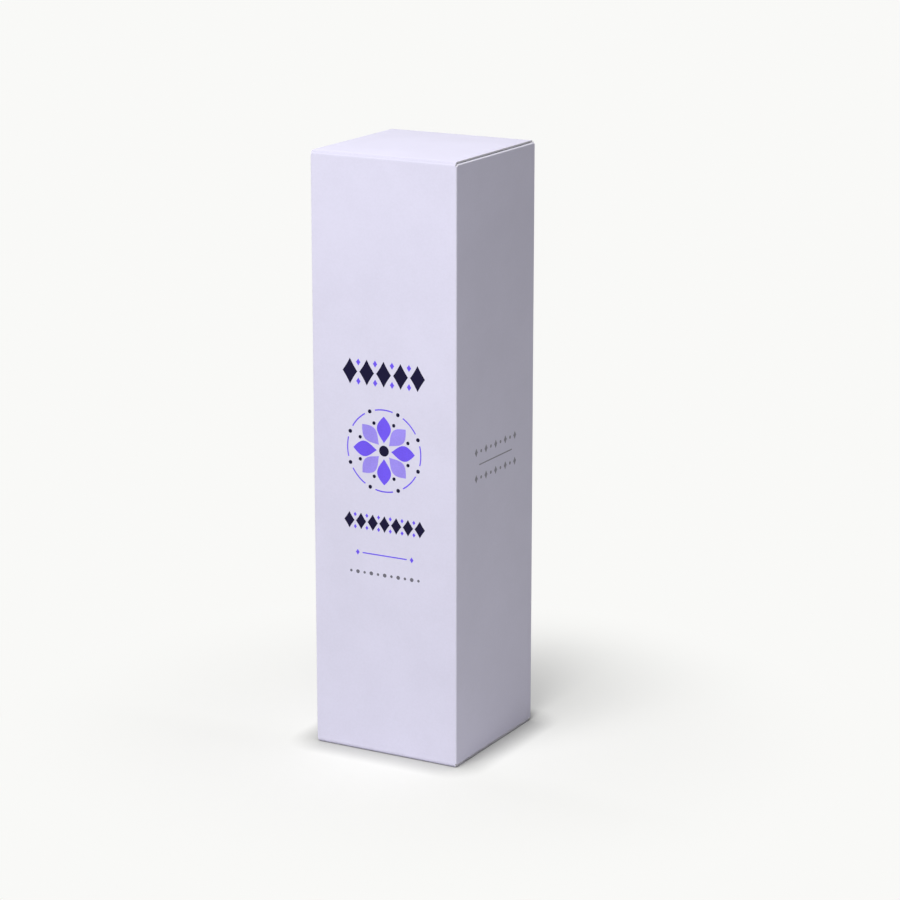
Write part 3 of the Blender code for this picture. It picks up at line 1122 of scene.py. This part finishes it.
def lets_light_up(tree, place):
    """Where soft light from below may pass the floor: to a carton's open bottom.

    That is under the carton, and wherever a flap lies flat on the floor.
    """
    path = tree.nodes.new("ShaderNodeLightPath")
    spot = add_node(tree, "ShaderNodeSeparateXYZ", {0: place.outputs["Position"]})
    far_x, far_y = (unsigned(tree, spot.outputs[axis]) for axis in (0, 1))
    far = calc(tree, "MAXIMUM", far_x, far_y)
    under = calc(tree, "LESS_THAN", far, UNDER_CARTON)
    beside = calc(tree, "GREATER_THAN", far, BESIDE_CARTON)
    touching = calc(tree, "LESS_THAN", path.outputs["Ray Length"], TOUCHING_FLOOR)
    passes = calc(tree, "MAXIMUM", under, calc(tree, "MULTIPLY", beside, touching))
    return calc(tree, "MULTIPLY", passes, path.outputs["Is Diffuse Ray"])


def floor_material(stage):
    """Pale floor: seen, it has a light cast shadow and a soft contact shadow.

    Further out it turns into the plain backdrop. In front its tone makes up for the
    light that the front wall throws on it. Light that bounces off it has a colour of
    its own. From below it isn't seen, so that it never hides an open flap.
    """
    material = bpy.data.materials.new("studio_floor")
    material.use_nodes = True
    tree = material.node_tree
    tree.nodes.clear()
    place = tree.nodes.new("ShaderNodeNewGeometry")
    reach = add_node(
        tree, "ShaderNodeVectorMath", {0: place.outputs["Position"]}, operation="LENGTH"
    )
    limits = (NEAR_FLOOR, FAR_FLOOR, 1 - SHADOW_SHARE, 1.0)
    plain = fade(tree, reach.outputs["Value"], *limits)
    seen = seen_directly(tree)
    share = calc(tree, "MULTIPLY", plain, seen)
    spot = add_node(tree, "ShaderNodeSeparateXYZ", {0: place.outputs["Position"]})
    tone = fade(tree, spot.outputs[1], FRONT_START, FRONT_END, 1.0, FRONT_TONE)
    shown = stretch(tree, tuple(stage.floor), tone)
    colour = blend_colours(tree, seen, stage.bounce, shown)
    near = add_node(tree, "ShaderNodeBsdfDiffuse", {"Color": colour})
    contact = add_node(tree, "ShaderNodeAmbientOcclusion", {"Distance": CONTACT_REACH})
    light = calc(tree, "POWER", contact.outputs["AO"], CONTACT_DEPTH)
    far = add_node(
        tree, "ShaderNodeEmission", {"Color": rgba(stage.backdrop), "Strength": light}
    )
    top = add_node(
        tree, "ShaderNodeMixShader", {0: share, 1: near.outputs[0], 2: far.outputs[0]}
    )
    open_air = tree.nodes.new("ShaderNodeBsdfTransparent")
    passes = lets_light_up(tree, place)
    gone = calc(tree, "MAXIMUM", place.outputs["Backfacing"], passes)
    sockets = {0: gone, 1: top.outputs[0], 2: open_air.outputs[0]}
    surface = add_node(tree, "ShaderNodeMixShader", sockets)
    add_node(tree, "ShaderNodeOutputMaterial", {"Surface": surface.outputs[0]})
    return material


class CARTON_OT_set_stage(bpy.types.Operator):
    """Set up the floor, the surroundings, the soft lamp and the camera."""

    bl_idname = "carton.set_stage"
    bl_label = "Stage"

    def execute(self, context):
        stage = stage_settings(context)
        scene = context.scene
        scene.view_settings.view_transform = "Standard"
        self.add_floor(scene, stage)
        self.add_surroundings(scene, stage)
        self.add_lamp(scene, stage)
        self.add_camera(scene, stage)
        return {"FINISHED"}

    def add_floor(self, scene, stage):
        """A wide disc under the carton."""
        shape = bmesh.new()
        bmesh.ops.create_circle(
            shape, cap_ends=True, segments=FLOOR_STEPS, radius=FLOOR_RADIUS
        )
        floor = finish_mesh("studio_floor", shape, scene.collection)
        floor.data.materials.append(floor_material(stage))

    def add_surroundings(self, scene, stage):
        """An even world: plain where it is seen, weaker where it only lights."""
        world = bpy.data.worlds.new("studio_world")
        world.use_nodes = True
        tree = world.node_tree
        tree.nodes.clear()
        seen = seen_directly(tree)
        colour = blend_colours(tree, seen, stage.air, stage.backdrop)
        strength = calc(tree, "MAXIMUM", seen, stage.surroundings)
        background = add_node(
            tree, "ShaderNodeBackground", {"Color": colour, "Strength": strength}
        )
        add_node(tree, "ShaderNodeOutputWorld", {"Surface": background.outputs[0]})
        scene.world = world

    def add_lamp(self, scene, stage):
        """One big soft lamp high above the front."""
        light = bpy.data.lights.new("soft_lamp", "AREA")
        light.shape = "SQUARE"
        light.size = stage.lamp_size
        light.energy = stage.lamp_power
        lamp = bpy.data.objects.new("soft_lamp", light)
        direction = Vector(LAMP_DIRECTION).normalized()
        lamp.location = Vector((0, 0, HEIGHT / 2)) + direction * stage.lamp_distance
        lamp.rotation_euler = direction.to_track_quat("Z", "Y").to_euler()
        scene.collection.objects.link(lamp)

    def add_camera(self, scene, stage):
        """The camera, at the place that shows the carton as the photograph does."""
        view = bpy.data.cameras.new("studio_camera")
        view.lens = stage.lens
        view.sensor_width = SENSOR_WIDTH_MM
        view.clip_start, view.clip_end = CLIP_START, CLIP_END
        camera = bpy.data.objects.new("studio_camera", view)
        turn, rise = stage.azimuth, stage.pitch
        back = Vector(
            (
                math.sin(turn) * math.cos(rise),
                -math.cos(turn) * math.cos(rise),
                math.sin(rise),
            )
        )
        right = Vector((math.cos(turn), math.sin(turn), 0))
        up = back.cross(right)
        centre = Vector((0, 0, HEIGHT / 2))
        step = right * stage.aim_right + up * AIM_UP
        camera.location = centre + back * stage.distance + step
        camera.rotation_euler = back.to_track_quat("Z", "Y").to_euler()
        scene.collection.objects.link(camera)
        scene.camera = camera


STEPS = (
    CARTON_OT_dress_board,
    CARTON_OT_dress_glue,
    CARTON_OT_add_crease_webs,
    CARTON_OT_add_wall_webs,
    CARTON_OT_add_rosette,
    CARTON_OT_add_bands,
    CARTON_OT_add_rules,
    CARTON_OT_add_side_ornament,
    CARTON_OT_set_stage,
)
SETTINGS = (
    ("carton_board", CartonBoardSettings),
    ("carton_print", CartonPrintSettings),
    ("carton_stage", CartonStageSettings),
)


class CARTON_PT_sidebar(bpy.types.Panel):
    """Lists the carton's settings and the operators that build it."""

    bl_idname = "CARTON_PT_sidebar"
    bl_label = "Tuck end box"
    bl_space_type = "VIEW_3D"
    bl_region_type = "UI"
    bl_category = "Carton"

    def draw(self, context):
        layout = self.layout
        for attribute, group in SETTINGS:
            settings = getattr(context.scene, attribute)
            box = layout.box()
            box.label(text=group.__doc__.rstrip("."))
            for name in group.__annotations__:
                box.prop(settings, name)
        column = layout.column()
        for operator in STEPS:
            column.operator(operator.bl_idname)


def register():
    """Register the settings, the operators and the panel."""
    for attribute, group in SETTINGS:
        bpy.utils.register_class(group)
        setattr(bpy.types.Scene, attribute, bpy.props.PointerProperty(type=group))
    for step in STEPS:
        bpy.utils.register_class(step)
    bpy.utils.register_class(CARTON_PT_sidebar)


def unregister():
    """Undo what register did, in reverse."""
    bpy.utils.unregister_class(CARTON_PT_sidebar)
    for step in reversed(STEPS):
        bpy.utils.unregister_class(step)
    for attribute, group in reversed(SETTINGS):
        delattr(bpy.types.Scene, attribute)
        bpy.utils.unregister_class(group)


def main():
    """Build the dressed carton on its stage."""
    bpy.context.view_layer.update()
    register()
    bpy.ops.carton.dress_board()
    bpy.ops.carton.dress_glue()
    bpy.ops.carton.add_crease_webs()
    bpy.ops.carton.add_wall_webs()
    bpy.ops.carton.add_rosette()
    bpy.ops.carton.add_bands()
    bpy.ops.carton.add_rules()
    bpy.ops.carton.add_side_ornament()
    bpy.ops.carton.set_stage()


if __name__ == "__main__":
    main()
